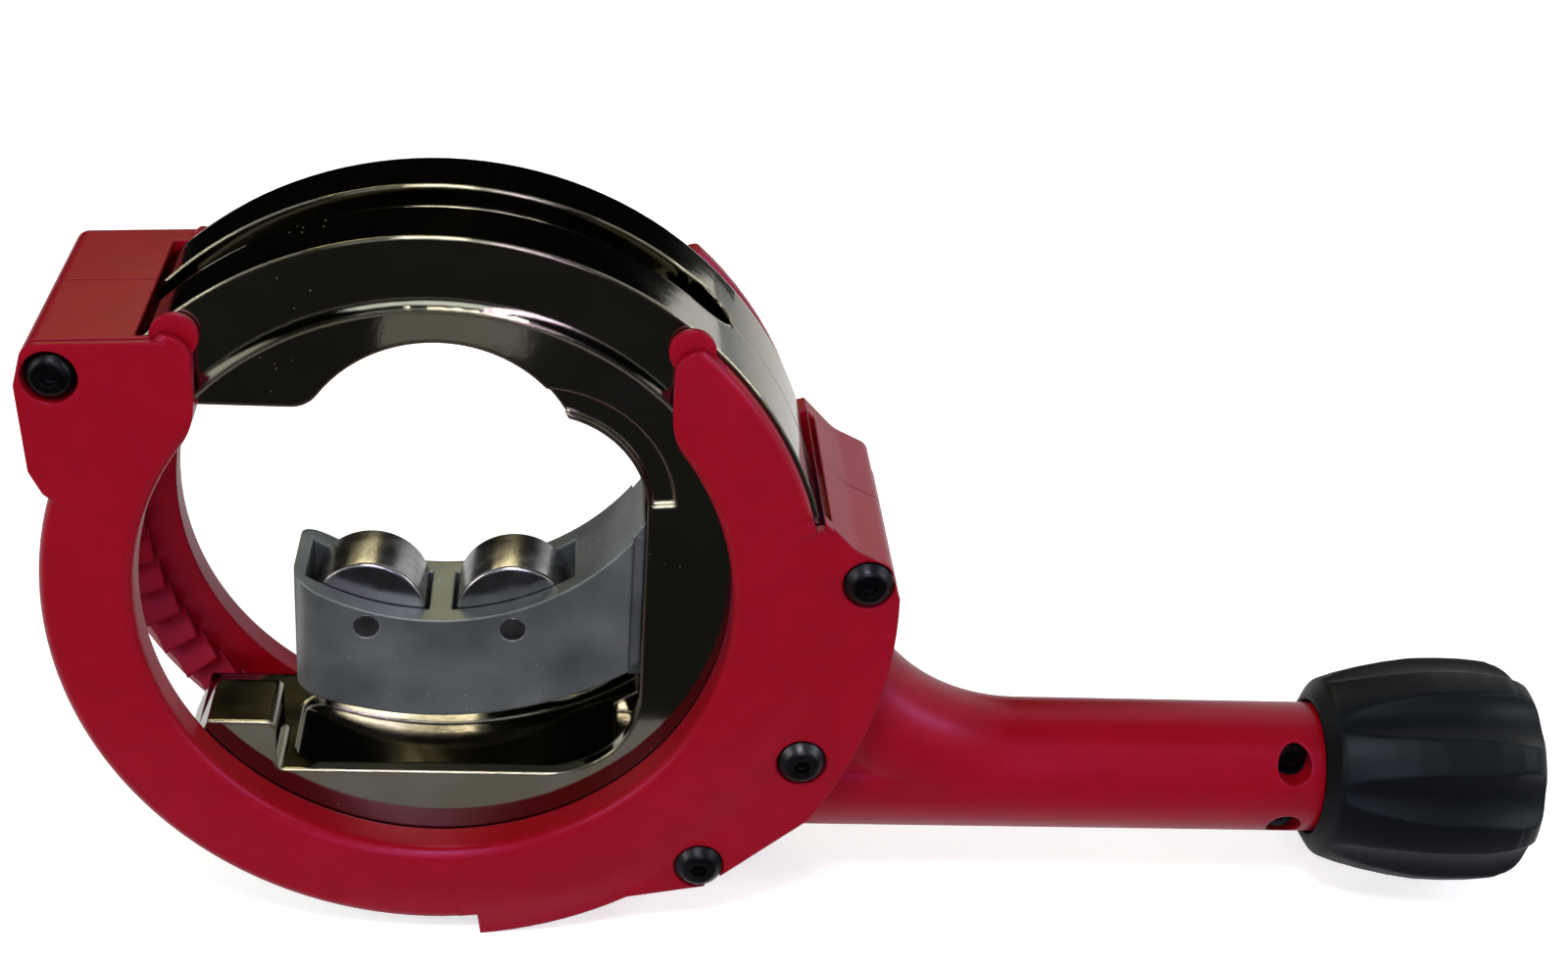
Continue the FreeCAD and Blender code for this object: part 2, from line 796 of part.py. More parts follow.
def tip_end(side, front, back, height, width, corner):
    """What is cut off one tip, so that it ends at this height with rounded corners."""
    inner = side * opening_half
    outer = side * (opening_half + width)
    edges = sorted((0, side * 2 * rim_radius))
    outside = box(edges[0], edges[1], front, back, height - 2 * corner, 2 * rim_radius)
    keep = prism([
        (inner, 0, 0),
        (inner, height, corner),
        (outer, height, corner),
        (outer, 0, 0),
    ], front - overrun, back + overrun)
    return outside.cut(keep)


def front_tip_cuts():
    """Cuts that split each front tip into a face leaf and a rounded nub behind a slit."""
    leaf = plate_front + tip_leaf
    cuts = tip_corners(ring_bore_radius, plate_front, lip_back)
    for side in (-1, 1):
        edges = sorted((0, side * 2 * rim_radius))
        cuts.append(tip_end(side, plate_front - overrun, plate_back + overrun, tip_height, rim_radius,
                            3 * edge_round))
        cuts.append(box(edges[0], edges[1], leaf, leaf + tip_slit, nub_height - tip_slit_depth,
                        2 * rim_radius))
    return cuts


def tip_nubs():
    """Rounded nub behind each front leaf, which stands a little higher and further in."""
    front = plate_front + tip_leaf + tip_slit
    centre = opening_half - nub_overhang + nub_radius
    stem = nub_height - tip_slit_depth - 2 * tip_slit
    nubs = []
    for side in (-1, 1):
        edges = sorted((side * (centre - nub_radius + nub_overhang), side * (centre + nub_radius)))
        nub = disc(nub_radius, front, plate_back, (side * centre, nub_height - nub_radius))
        nubs.append(nub.fuse(box(edges[0], edges[1], front, plate_back, stem, nub_height - nub_radius)))
    return nubs


def valley():
    """Soft step down from the ring's face to the face of the boss on the grip side."""
    crest = ring_outer_radius - valley_inset
    foot = wall_inner_radius + valley_reach
    far = 2 * root_radius
    shape = turned_y([
        (crest, plate_front - overrun, 0),
        (crest, plate_front, 0),
        (foot, plate_front + valley_drop, boss_round),
        (far, plate_front + valley_drop, 0),
        (far, plate_front - overrun, 0),
    ])
    return shape.common(sector(wall_end_degrees - tip_round, rim_slit_degrees[0],
                               plate_front - 2 * overrun, plate_back))


def boss_gap(front, back):
    """Wider gap between the grip-side boss and the head's rim."""
    band = ring(wall_inner_radius + boss_slit, rim_radius, front, back)
    return band.common(sector(boss_slit_degrees[0], boss_slit_degrees[1], front, back))


def cap_room(front, back):
    """Space of the grip root under the front shell's edge."""
    return box(wall_inner_radius - grip_radius, 2 * root_radius, front, back,
               grip_height - grip_radius, -cap_top)


def grip_root():
    """Round arm that bends up from the grip into the housing, and the web under it."""
    centre = Vector(root_bend_start, 0, grip_height + root_bend)
    start = Vector(root_bend_start, 0, grip_height)
    section = Part.Face(Part.Wire(Part.makeCircle(grip_radius, start, AXIS_X)))
    arm = section.revolve(centre, AXIS_Y, root_sweep)
    turn = math.radians(root_sweep)
    far = (root_bend_start - root_bend * math.sin(turn), centre.z - root_bend * math.cos(turn))
    half = math.radians(root_sweep / 2)
    middle = Vector(root_bend_start - root_bend * math.sin(half), -root_web,
                    centre.z - root_bend * math.cos(half))
    low = Vector(root_bend_start, -root_web, grip_height)
    high = Vector(far[0], -root_web, far[1])
    corner = Vector(far[0], -root_web, grip_height)
    edges = [
        Part.Arc(low, middle, high).toShape(),
        Part.LineSegment(high, corner).toShape(),
        Part.LineSegment(corner, low).toShape(),
    ]
    web = Part.Face(Part.Wire(edges)).extrude(Vector(0, 2 * root_web, 0))
    return [arm, web]


def front_shell():
    """Front half: the C-shaped cover ring with its bearing lip, wall and bosses."""
    ring_body = turned_y([
        (ring_bore_radius, plate_front, ring_round),
        (ring_outer_radius, plate_front, ring_round),
        (ring_outer_radius, plate_back, 0),
        (ring_bore_radius + lip_width, plate_back, 0),
        (ring_bore_radius + lip_width, lip_back, 0),
        (ring_bore_radius, lip_back, 0),
    ])
    blocks = [left_block(plate_front, parting), right_block(plate_front, parting)]
    walls = []
    for block in blocks:
        space = disc(wall_inner_radius, plate_back, parting + overrun)
        face = disc(ring_bore_radius + lip_width, plate_front - overrun, plate_back + overrun)
        walls.append(block.cut(space).cut(face))
    slit = ring(wall_inner_radius, ring_outer_radius, plate_front - overrun, plate_back + overrun)
    first, last = rim_slit_degrees
    slit = slit.common(sector(first, last, plate_front - overrun, plate_back + overrun))
    whole = joined([ring_body] + walls)
    ridge_room = ring(ridge_outer_radius + turn_gap, ring_bore_radius + lip_width,
                      head_front - ridge_height - face_gap, plate_back + overrun)
    cap = cap_room(grip_cap_back, parting + overrun)
    passage = rod_x(grip_bore_radius, 0, root_radius)
    cuts = [opening(plate_front, parting), slit, ridge_room, cap, passage]
    cuts += front_tip_cuts()
    cuts.append(valley())
    cuts.append(boss_gap(plate_back, parting + overrun))
    for x, z in screw_places():
        cuts.append(disc(screw_shank_radius, plate_front - overrun, parting + overrun, (x, z)))
        cuts.append(disc(housing_screw_head + slide_gap, plate_front - overrun,
                         plate_front + housing_screw_sink, (x, z)))
    return joined([without(whole, cuts)] + tip_nubs())


def ratchet_teeth():
    """Face teeth on the inner side of the rear plate, each a ramp and a step."""
    pitch = 360 / tooth_count
    root = rear_inner + edge_round / 2
    teeth = []
    first = int(round(teeth_first / pitch))
    last = int(round(teeth_last / pitch))
    for index in range(first, last):
        start = index * pitch - pitch / 2
        profile = []
        for radius in (teeth_inner_radius, teeth_outer_radius):
            low = polar(radius, start)
            high = polar(radius, start + pitch)
            points = [
                Vector(low[0], root, low[1]),
                Vector(low[0], rear_inner, low[1]),
                Vector(high[0], teeth_crest, high[1]),
                Vector(high[0], root, high[1]),
            ]
            points.append(points[0])
            profile.append(Part.makePolygon(points))
        teeth.append(Part.makeLoft(profile, True, True))
    return teeth


def rear_shell():
    """Rear half in one piece with the grip: plate, ratchet teeth, walls, root and grip."""
    plate = turned_y([
        (rear_bore_radius, rear_inner, 0),
        (ring_outer_radius - rear_rim_drop, rear_inner, 0),
        (ring_outer_radius, rear_inner + rear_rim_drop, 0),
        (ring_outer_radius, rear_rim_back, ring_round),
        (ring_outer_radius - rear_rim, rear_back, ring_round),
        (rear_bore_radius, rear_back, ring_round),
    ])
    walls = []
    for block in (left_block(parting, rear_rim_back), right_block(parting, rear_rim_back)):
        space = disc(wall_inner_radius, parting - overrun, rear_inner)
        bore = disc(rear_bore_radius + lip_width, parting - overrun, rear_rim_back + overrun)
        walls.append(block.cut(space).cut(bore))
    cap_block = right_block(grip_cap_back, parting).common(cap_room(grip_cap_back, parting))
    grip = turned_x([
        (wall_inner_radius - grip_radius / 2, 0, 0),
        (wall_inner_radius - grip_radius / 2, grip_radius, 0),
        (grip_end, grip_radius, edge_round),
        (grip_end, 0, 0),
    ])
    whole = joined([plate] + walls + [cap_block, grip] + grip_root())
    head_room = disc(wall_inner_radius, 2 * plate_front, rear_inner)
    passage = rod_x(grip_bore_radius, 0, collar_stop)
    waist = rod_x(grip_waist_radius, 0, grip_end + overrun)
    end_bore = rod_x(grip_bore_radius, end_bush_start, grip_end + overrun)
    cuts = [opening(parting, rear_back), head_room, passage, waist, end_bore]
    for side in (-1, 1):
        cuts.append(tip_end(side, parting - overrun, rear_back + overrun, tip_height, rim_radius, boss_round))
    cuts += tip_corners(rear_bore_radius, parting, rear_back)
    cuts.append(boss_gap(parting - overrun, rear_inner))
    for x, z in screw_places():
        cuts.append(disc(screw_shank_radius, grip_cap_back - overrun,
                         plate_front + housing_screw_sink + housing_screw_length, (x, z)))
    for side in (-1, 1):
        cuts.append(cross_screw(side, True))
    whole = without(whole, cuts)
    clip = opening(parting, rear_back)
    teeth = [tooth.cut(clip) for tooth in ratchet_teeth()]
    return joined([whole] + teeth)


def housing_screws():
    """Four button-head screws that hold the two shells together."""
    bodies = []
    seat = plate_front + housing_screw_sink
    top = seat - housing_screw_dome
    for x, z in screw_places():
        head = turned_y([
            (0, seat, 0),
            (0, top, 0),
            (housing_screw_head * 2 / 3, top, edge_round),
            (housing_screw_head, seat - housing_screw_dome / 3, edge_round / 3),
            (housing_screw_head, seat, 0),
        ], (x, z))
        shank = disc(screw_shank_radius, seat - overrun / 2, seat + housing_screw_length, (x, z))
        key = hexagon(housing_screw_key, Vector(x, top - overrun, z), AXIS_Y,
                      overrun + housing_screw_dome * 2 / 3)
        bodies.append(without(joined([head, shank]), [key]))
    return Part.makeCompound(bodies)


def cross_screw(side, as_hole):
    """One screw across the grip's end, or its stepped hole, which is open to the front."""
    z = grip_height + side * cross_screw_offset
    surface = -math.sqrt(grip_radius ** 2 - cross_screw_offset ** 2)
    seat = surface + cross_screw_sink
    top = surface - overrun * 2 if as_hole else seat - cross_screw_head_height
    radius = cross_screw_hole if as_hole else cross_screw_head
    head = Part.makeCylinder(radius, seat - top, Vector(cross_screw_x, top, z), AXIS_Y)
    shank_length = grip_radius - cross_screw_sink / 2
    shank = Part.makeCylinder(cross_screw_radius, shank_length, Vector(cross_screw_x, seat - overrun / 2, z),
                              AXIS_Y)
    return head.fuse(shank).removeSplitter()


def handle_screws():
    """Two socket screws that lock the end bush in the grip."""
    bodies = []
    surface = -math.sqrt(grip_radius ** 2 - cross_screw_offset ** 2)
    for side in (-1, 1):
        z = grip_height + side * cross_screw_offset
        top = surface + cross_screw_sink - cross_screw_head_height
        key = hexagon(cross_screw_key, Vector(cross_screw_x, top - overrun, z), AXIS_Y,
                      overrun + cross_screw_head_height / 2)
        bodies.append(without(cross_screw(side, False), [key]))
    return Part.makeCompound(bodies)


def root_bush():
    """Inner bearing bush of the spindle and seat of the return spring."""
    body = rod_x(grip_bore_radius, bush_start, bush_end)
    return without(body, [rod_x(spindle_radius + running_gap, bush_start - overrun, bush_end + overrun)])


def end_bush():
    """Outer bearing bush, notched by the two cross screws."""
    body = rod_x(grip_bore_radius, end_bush_start, grip_end)
    bore = rod_x(spindle_radius + running_gap, end_bush_start - overrun, grip_end + overrun)
    return without(body, [bore, cross_screw(-1, True), cross_screw(1, True)])


def return_spring():
    """Coil spring that pushes the knob outwards."""
    return spring(Vector(bush_end, 0, grip_height), AXIS_X, AXIS_Y,
                  spring_outer_radius - spring_wire_radius, spring_wire_radius,
                  spring_length, spring_turns, "return_spring")


def spindle_collar():
    """Sliding thrust collar that the return spring bears on."""
    body = rod_x(grip_bore_radius - slide_gap, collar_start, collar_start + collar_length)
    bore = rod_x(spindle_radius + running_gap, collar_start - overrun, collar_start + collar_length + overrun)
    return without(body, [bore])


def clip_starts():
    """Places of the two retaining rings, one on each side of the collar."""
    before = collar_start - running_gap - clip_thickness
    after = collar_start + collar_length + running_gap
    return (before, after)


def collar_clips():
    """Two retaining rings that carry the collar on the spindle."""
    rings = []
    core = spindle_radius - clip_thickness / 2
    for start in clip_starts():
        body = rod_x(clip_radius, start, start + clip_thickness)
        rings.append(without(body, [rod_x(core, start - overrun, start + clip_thickness + overrun)]))
    return Part.makeCompound(rings)


def spindle():
    """Long spindle with a six-sided driving tip and a threaded tail."""
    body = rod_x(spindle_radius, spindle_tip + spindle_tip_length, spindle_end)
    tip = hexagon(spindle_key, Vector(spindle_tip, 0, grip_height), AXIS_X, spindle_tip_length + overrun)
    body = joined([body, tip])
    cuts = [rod_x(knob_screw_radius(), knob_screw_tip() - edge_round, spindle_end + overrun)]
    core = spindle_radius - clip_thickness / 2
    for start in clip_starts():
        collar = rod_x(spindle_radius + overrun, start, start + clip_thickness)
        cuts.append(collar.cut(rod_x(core, start - overrun, start + clip_thickness + overrun)))
    return without(body, cuts)


def knob_screw_radius():
    """Shank radius of the screw in the spindle's tail."""
    return spindle_radius / 2


def knob_screw_tip():
    """Inner end of the knob's screw."""
    return knob_screw_seat - knob_screw_length


def knob():
    """Cup-shaped knob with long flutes that deepen towards its end."""
    end = knob_end
    body = turned_x([
        (knob_start, 0, 0),
        (knob_start, knob_mouth_radius + knob_lip, edge_round / 2),
        (knob_start + knob_length * knob_front_share, knob_front_radius, boss_round),
        (knob_start + knob_length * knob_swell_share, knob_radius - edge_round, 5 * boss_round),
        (knob_start + knob_length * knob_crown_share, knob_radius, 3 * boss_round),
        (knob_start + knob_length * knob_fall_share, knob_radius - edge_round, 3 * boss_round),
        (end, knob_end_radius + edge_round, knob_end_round),
        (end, 0, 0),
    ])
    cup = rod_x(knob_mouth_radius, knob_start - overrun, knob_hub)
    seat = rod_x(spindle_radius, knob_hub - overrun, spindle_end)
    screw_way = rod_x(knob_screw_radius(), spindle_end - overrun, end)
    head_way = rod_x(knob_screw_head + slide_gap, knob_screw_seat, end)
    cap_seat = rod_x(knob_cap_radius, end - knob_cap_thickness, end + overrun)
    cuts = [cup, seat, screw_way, head_way, cap_seat]
    crown = knob_start + knob_length * knob_crown_share
    path_height = grip_height + knob_radius - flute_depth + flute_radius - flute_path_radius
    for index in range(knob_flutes):
        flute = Part.makeTorus(flute_path_radius, flute_radius, Vector(crown, 0, path_height), AXIS_Y)
        flute.rotate(Vector(0, 0, grip_height), AXIS_X, flute_phase + 360 / knob_flutes * index)
        cuts.append(flute)
    return without(body, cuts)


def knob_cap():
    """Flush cap over the knob's screw."""
    return rod_x(knob_cap_radius, knob_end - knob_cap_thickness, knob_end)


def knob_screw():
    """Screw that holds the knob on the spindle."""
    head = rod_x(knob_screw_head, knob_screw_seat, knob_screw_seat + knob_screw_head_height)
    shank = rod_x(knob_screw_radius(), knob_screw_tip(), knob_screw_seat + overrun / 2)
    key = hexagon(housing_screw_key, Vector(knob_screw_seat + knob_screw_head_height / 2, 0, grip_height),
                  AXIS_X, knob_screw_head_height)
    return without(joined([head, shank]), [key])


def build():
    """All pieces by node name."""
    left_place, right_place = roller_places()
    return {
        "front_shell": front_shell(),
        "rear_shell": rear_shell(),
        "housing_screws": housing_screws(),
        "handle_screws": handle_screws(),
        "root_bush": root_bush(),
        "end_bush": end_bush(),
        "return_spring": return_spring(),
        "spindle_collar": spindle_collar(),
        "collar_clips": collar_clips(),
        "spindle": spindle(),
        "knob": knob(),
        "knob_cap": knob_cap(),
        "knob_screw": knob_screw(),
        "head_casting": head_casting(),
        "cutter_wheel": cutter_wheel(),
        "wheel_pin": wheel_pin(),
        "feed_screw": feed_screw(),
        "screw_retainer": screw_retainer(),
        "jaw": jaw(),
        "roller_left": roller(left_place),
        "roller_right": roller(right_place),
        "roller_pins": roller_pins(),
        "pawl_lower": pawl(pawl_angles[0]),
        "pawl_side": pawl(pawl_angles[1]),
        "pawl_spring_lower": pawl_spring(pawl_angles[0], "pawl_spring_lower"),
        "pawl_spring_side": pawl_spring(pawl_angles[1], "pawl_spring_side"),
    }


os.makedirs("parts", exist_ok=True)
for name, shape in build().items():
    count = len(shape.Solids)
    print(name, "solids", count, "volume", round(shape.Volume, 1), "valid", shape.isValid())
    shape.exportStep(os.path.join("parts", name + ".step"))
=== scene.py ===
import json
import math

import bmesh
import bpy
import numpy as np
from mathutils import Matrix, Vector


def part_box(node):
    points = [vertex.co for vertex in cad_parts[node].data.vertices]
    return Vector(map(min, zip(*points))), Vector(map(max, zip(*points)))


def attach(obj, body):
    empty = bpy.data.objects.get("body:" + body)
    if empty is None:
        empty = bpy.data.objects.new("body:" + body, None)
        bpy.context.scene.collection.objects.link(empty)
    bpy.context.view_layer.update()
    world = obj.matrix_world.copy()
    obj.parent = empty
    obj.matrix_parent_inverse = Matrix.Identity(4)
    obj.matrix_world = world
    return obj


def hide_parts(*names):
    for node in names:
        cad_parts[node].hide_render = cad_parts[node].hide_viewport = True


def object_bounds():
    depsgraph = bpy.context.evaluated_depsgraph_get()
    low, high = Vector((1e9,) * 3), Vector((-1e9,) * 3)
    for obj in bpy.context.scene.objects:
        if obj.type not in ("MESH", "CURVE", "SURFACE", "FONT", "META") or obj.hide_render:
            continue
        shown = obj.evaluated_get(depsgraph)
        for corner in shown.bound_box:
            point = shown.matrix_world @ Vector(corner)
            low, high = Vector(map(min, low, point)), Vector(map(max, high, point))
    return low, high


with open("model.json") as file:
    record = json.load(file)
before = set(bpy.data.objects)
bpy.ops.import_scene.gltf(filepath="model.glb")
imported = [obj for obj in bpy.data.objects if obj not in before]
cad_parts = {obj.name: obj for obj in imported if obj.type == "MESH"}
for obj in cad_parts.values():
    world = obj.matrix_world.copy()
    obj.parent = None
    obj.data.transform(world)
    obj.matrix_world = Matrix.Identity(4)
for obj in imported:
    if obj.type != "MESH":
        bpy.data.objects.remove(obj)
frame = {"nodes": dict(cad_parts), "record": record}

# Lengths are in metres and angles in degrees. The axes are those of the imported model:
# the head turns about Y, the grip points along X, and Z is up.
MM = 0.001
nodes = frame["nodes"]
cad_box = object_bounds()

# Camera, worked out from the photograph
CAMERA_PLACE = Vector((24.107, -411.698, 233.878)) * MM
CAMERA_AZIMUTH = -5.769
CAMERA_ELEVATION = 27.652
CAMERA_ROLL = 4.230
FOCAL_PIXELS = 2454.9
PHOTO_WIDTH = 1600
SENSOR_WIDTH = 36.0

# Places taken from the model
knob_low, knob_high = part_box("knob")
screw_low, screw_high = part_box("feed_screw")
retainer_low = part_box("screw_retainer")[0]
GRIP_AXIS_Z = (knob_low.z + knob_high.z) / 2
FLOOR_Z = cad_box[0][2]

# Knob: radii in millimetres at shares of its length, then the sizes of its eight troughs.
# NO_TROUGH is a radius far outside the knob, used between the troughs. BORE_ROWS are the two
# rows that the straight wall inside joins, and BORE_MARGIN is what smoothing bends at its ends.
KNOB_ROWS = [
    (0.553, 4.0), (0.553, 12.2), (0.500, 13.6), (0.010, 13.9), (0.000, 14.5), (0.012, 15.2),
    (0.060, 18.6), (0.150, 20.0), (0.260, 21.3), (0.380, 22.4), (0.500, 23.2), (0.620, 23.4),
    (0.740, 23.3), (0.840, 22.9), (0.870, 22.7), (0.876, 22.4), (0.910, 22.0), (0.950, 21.0),
    (0.980, 19.6), (0.996, 18.0), (1.000, 16.0), (1.000, 9.2), (0.945, 9.1), (0.945, 4.0),
]
BORE_ROWS = (2, 3)
BORE_MARGIN = 4.0 * MM
FIRST_OUTER_ROW = 6
LAST_OUTER_ROW = -4
KNOB_SAMPLES = 260
KNOB_SMOOTHING = 6
CROWN_SHARE = 0.62
CROWN_RADIUS = 23.4 * MM
TROUGH_COUNT = 8
TROUGH_PHASE = 28.0
TROUGH_RADIUS = 9.0 * MM
TROUGH_DEPTH = 2.3 * MM
TROUGH_PATH_TO_GRIP = 130.0 * MM
TROUGH_PATH_TO_END = 44.0 * MM
TROUGH_EDGE = 0.35 * MM
NO_TROUGH = 1.0
KNOB_COLUMN_ANGLE = 1.0

# Feed screw: its thread, its plain foot and the neck above the thread
SCREW_PITCH = 2.0 * MM
SCREW_CREST = 4.0 * MM
SCREW_ROOT = 3.0 * MM
SCREW_FOOT_LENGTH = 5.5 * MM
SCREW_FOOT_RADIUS = 2.5 * MM
SCREW_STEP = 0.2 * MM
SCREW_NECK_GAP = 0.4 * MM
STEPS_PER_PITCH = 10
SCREW_COLUMN_ANGLE = 10.0
THREAD_CREASE_ANGLE = 40.0

# Skins over the model's nodes
MERGE_DISTANCE = 0.002 * MM
CREASE_ANGLE = 25.0

# Scale of the broad noise in the grain, as a share of the fine one's
BROAD_GRAIN_SHARE = 0.12

# Studio: what the lamps aim at, the floor's half width, the corners of a square, and the
# nearest distance that the camera sees
MIDDLE = (0.05, 0.0, -0.01)
ARCH_TOP = (0.0, 0.0, 0.06)
FLOOR_HALF = 3.0
SQUARE = ((-1, -1), (1, -1), (1, 1), (-1, 1))
CLIP_START = 0.01


# Meshes

def mesh_object(name, points, faces):
    """A smooth-shaded object from arrays of points and faces."""
    mesh = bpy.data.meshes.new(name)
    mesh.from_pydata(np.asarray(points).tolist(), [], np.asarray(faces).tolist())
    mesh.update()
    piece = bpy.data.objects.new(name, mesh)
    bpy.context.scene.collection.objects.link(piece)
    mesh.shade_smooth()
    return piece


def grid_faces(rows, columns, close_rows=False):
    """Quads of a grid whose columns wrap round, and whose rows wrap round if asked."""
    row_count = rows if close_rows else rows - 1
    row, column = np.meshgrid(np.arange(row_count), np.arange(columns), indexing="ij")
    next_row = (row + 1) % rows
    next_column = (column + 1) % columns
    corners = [row * columns + column, row * columns + next_column,
               next_row * columns + next_column, next_row * columns + column]
    return np.stack(corners, axis=-1).reshape(-1, 4)


def facing_out(piece):
    """Turns every face of a closed piece outwards."""
    shell = bmesh.new()
    shell.from_mesh(piece.data)
    bmesh.ops.recalc_face_normals(shell, faces=shell.faces)
    shell.to_mesh(piece.data)
    shell.free()
    return piece


def merged_copy(node, name):
    """A copy of a model node with its loose triangles merged into one skin."""
    mesh = nodes[node].data.copy()
    mesh.name = name
    mesh.materials.clear()
    skin = bmesh.new()
    skin.from_mesh(mesh)
    bmesh.ops.remove_doubles(skin, verts=skin.verts, dist=MERGE_DISTANCE)
    skin.to_mesh(mesh)
    skin.free()
    for layer in list(mesh.attributes):
        if layer.name.startswith("custom_normal"):
            mesh.attributes.remove(layer)
    piece = bpy.data.objects.new(name, mesh)
    bpy.context.scene.collection.objects.link(piece)
    return piece


def machined(node, name):
    """A skin for a turned or milled node, smooth on its curves and sharp at its edges."""
    piece = merged_copy(node, name)
    piece.data.shade_smooth()
    piece.data.set_sharp_from_angle(angle=math.radians(CREASE_ANGLE))
    return piece


# Node tools

def add(tree, kind, **values):
    """A shader node with its properties and unlinked inputs set."""
    made = tree.nodes.new(kind)
    for key, value in values.items():
        if key in made.inputs:
            made.inputs[key].default_value = value
        else:
            setattr(made, key, value)
    return made


def group_shell(name, inputs, outputs):
    """An empty node group with named float inputs and named outputs."""
    tree = bpy.data.node_groups.new(name, "ShaderNodeTree")
    for label, value in inputs:
        socket = tree.interface.new_socket(name=label, in_out="INPUT",
                                           socket_type="NodeSocketFloat")
        socket.default_value = value
    for label, kind in outputs:
        tree.interface.new_socket(name=label, in_out="OUTPUT", socket_type=kind)
    entry = tree.nodes.new("NodeGroupInput")
    leave = tree.nodes.new("NodeGroupOutput")
    return tree, entry, leave


def grain_group():
    """Fine grain: two sizes of noise on object coordinates, as a height and a mask."""
    tree, entry, leave = group_shell("grain", [("Scale", 900.0), ("Contrast", 2.0)],
                                     [("Height", "NodeSocketFloat"), ("Mask", "NodeSocketFloat")])
    place = add(tree, "ShaderNodeTexCoord")
    fine = add(tree, "ShaderNodeTexNoise", Detail=3.0, Roughness=0.6)
    broad = add(tree, "ShaderNodeTexNoise", Detail=2.0, Roughness=0.5)
    wide = add(tree, "ShaderNodeMath", operation="MULTIPLY")
    wide.inputs[1].default_value = BROAD_GRAIN_SHARE
    centre = add(tree, "ShaderNodeMath", operation="SUBTRACT")
    centre.inputs[1].default_value = 0.5
    spread = add(tree, "ShaderNodeMath", operation="MULTIPLY_ADD", use_clamp=True)
    spread.inputs[2].default_value = 0.5
    link = tree.links.new
    link(place.outputs["Object"], fine.inputs["Vector"])
    link(place.outputs["Object"], broad.inputs["Vector"])
    link(entry.outputs["Scale"], fine.inputs["Scale"])
    link(entry.outputs["Scale"], wide.inputs[0])
    link(wide.outputs[0], broad.inputs["Scale"])
    link(broad.outputs["Fac"], centre.inputs[0])
    link(centre.outputs[0], spread.inputs[0])
    link(entry.outputs["Contrast"], spread.inputs[1])
    link(fine.outputs["Fac"], leave.inputs["Height"])
    link(spread.outputs[0], leave.inputs["Mask"])
    return tree


def speck_group():
    """Dust specks: small round cells of a scattered pattern, thinned out by a second noise."""
    tree, entry, leave = group_shell("specks", [("Scale", 700.0), ("Size", 0.16), ("Amount", 0.5)],
                                     [("Mask", "NodeSocketFloat")])
    place = add(tree, "ShaderNodeTexCoord")
    cells = add(tree, "ShaderNodeTexVoronoi", Randomness=1.0)
    patches = add(tree, "ShaderNodeTexNoise", Scale=60.0, Detail=2.0)
    near = add(tree, "ShaderNodeMath", operation="LESS_THAN")
    level = add(tree, "ShaderNodeMath", operation="SUBTRACT")
    level.inputs[0].default_value = 1.0
    some = add(tree, "ShaderNodeMath", operation="GREATER_THAN")
    both = add(tree, "ShaderNodeMath", operation="MULTIPLY")
    link = tree.links.new
    link(place.outputs["Object"], cells.inputs["Vector"])
    link(place.outputs["Object"], patches.inputs["Vector"])
    link(entry.outputs["Scale"], cells.inputs["Scale"])
    link(cells.outputs["Distance"], near.inputs[0])
    link(entry.outputs["Size"], near.inputs[1])
    link(entry.outputs["Amount"], level.inputs[1])
    link(patches.outputs["Fac"], some.inputs[0])
    link(level.outputs[0], some.inputs[1])
    link(near.outputs[0], both.inputs[0])
    link(some.outputs[0], both.inputs[1])
    link(both.outputs[0], leave.inputs["Mask"])
    return tree


def smudge_group():
    """Handling marks: a slow warped noise as a mask from 0 to 1."""
    tree, entry, leave = group_shell("smudges", [("Scale", 30.0), ("Low", 0.4), ("High", 0.65)],
                                     [("Mask", "NodeSocketFloat")])
    place = add(tree, "ShaderNodeTexCoord")
    cloud = add(tree, "ShaderNodeTexNoise", Detail=5.0, Roughness=0.62, Distortion=0.6)
    ramp = add(tree, "ShaderNodeMapRange", interpolation_type="SMOOTHSTEP")
    link = tree.links.new
    link(place.outputs["Object"], cloud.inputs["Vector"])
    link(entry.outputs["Scale"], cloud.inputs["Scale"])
    link(cloud.outputs["Fac"], ramp.inputs["Value"])
    link(entry.outputs["Low"], ramp.inputs["From Min"])
    link(entry.outputs["High"], ramp.inputs["From Max"])
    link(ramp.outputs["Result"], leave.inputs["Mask"])
    return tree


grain = grain_group()
specks = speck_group()
smudges = smudge_group()


def effect(tree, group, **values):
    """A group placed in a material with its own values."""
    made = tree.nodes.new("ShaderNodeGroup")
    made.node_tree = group
    for key, value in values.items():
        made.inputs[key].default_value = value
    return made


def mix_colour(tree, factor, low, high):
    """A colour between two others, where factor is a socket."""
    made = add(tree, "ShaderNodeMix", data_type="RGBA")
    tree.links.new(factor, made.inputs[0])
    for index, value in ((6, low), (7, high)):
        if isinstance(value, bpy.types.NodeSocket):
            tree.links.new(value, made.inputs[index])
        else:
            made.inputs[index].default_value = (*value, 1.0)
    return made.outputs[2]


def span(tree, socket, low, high):
    """A number that runs from low to high as socket runs from 0 to 1."""
    made = add(tree, "ShaderNodeMapRange")
    made.inputs["To Min"].default_value = low
    made.inputs["To Max"].default_value = high
    tree.links.new(socket, made.inputs["Value"])
    return made.outputs["Result"]


def finish_material(name, **constants):
    """A new material and its shader with constants set on the shader's own sockets."""
    made = bpy.data.materials.new(name)
    made.use_nodes = True
    tree = made.node_tree
    shader = tree.nodes["Principled BSDF"]
    for key, value in constants.items():
        label = key.replace("_", " ").title().replace("Ior", "IOR")
        shader.inputs[label].default_value = value
    return made, tree, shader


